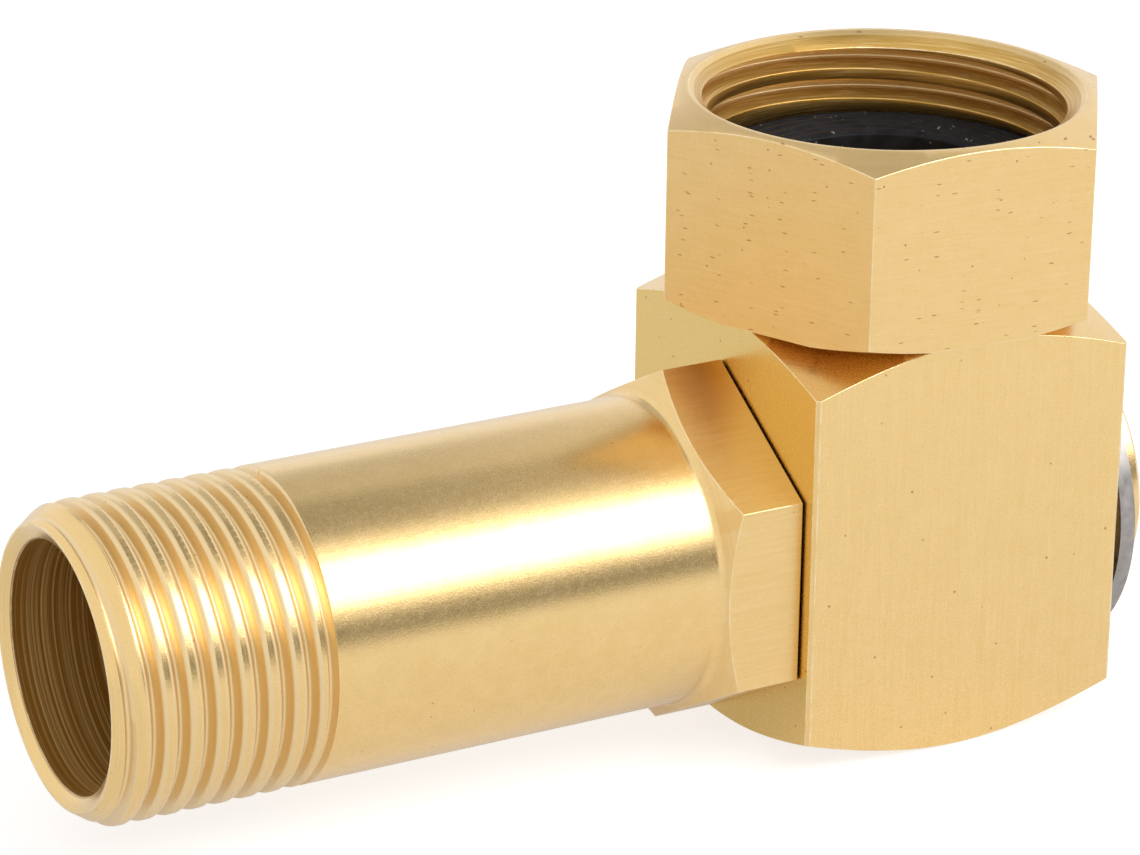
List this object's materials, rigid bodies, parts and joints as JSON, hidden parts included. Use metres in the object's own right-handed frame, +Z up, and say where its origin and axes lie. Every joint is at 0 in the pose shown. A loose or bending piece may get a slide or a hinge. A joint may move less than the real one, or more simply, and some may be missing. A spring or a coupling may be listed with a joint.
{
  "type": "garden hose swivel adapter",
  "caption": "Right-angle brass swivel: a hose nut on a square block, turning on a threaded outlet tube with a hexagon.",
  "frame": {"origin": "centre of the block's underside, on the nut's axis", "axes": "+Z up the nut's axis to its mouth, -X along the outlet tube to its open end"},
  "size_m": [0.0787, 0.0298, 0.0441],
  "materials": {
    "block_brass": "satin",
    "neck_brass": "satin",
    "nut_brass": "satin",
    "stem_brass": "satin",
    "washer_rubber": "matte",
    "seal_rubber": "matte",
    "ring_steel": "satin"
  },
  "bodies": {
    "block": {"swivel_body": "block_brass", "inlet_neck": "neck_brass"},
    "nut": {"hose_nut": "nut_brass", "hose_washer": "washer_rubber"},
    "stem": {"outlet_stem": "stem_brass", "tube_side_seal": "seal_rubber", "tail_side_seal": "seal_rubber", "retaining_ring": "ring_steel"}
  },
  "joints": [
    {"name": "stem_spin", "type": "hinge", "parent": "block", "child": "stem", "pos_m": [0, 0, 0.0135], "axis": [1, 0, 0], "continuous": true},
    {"name": "nut_spin", "type": "hinge", "parent": "block", "child": "nut", "pos_m": [0, 0, 0.0303], "axis": [0, 0, 1], "continuous": true}
  ]
}
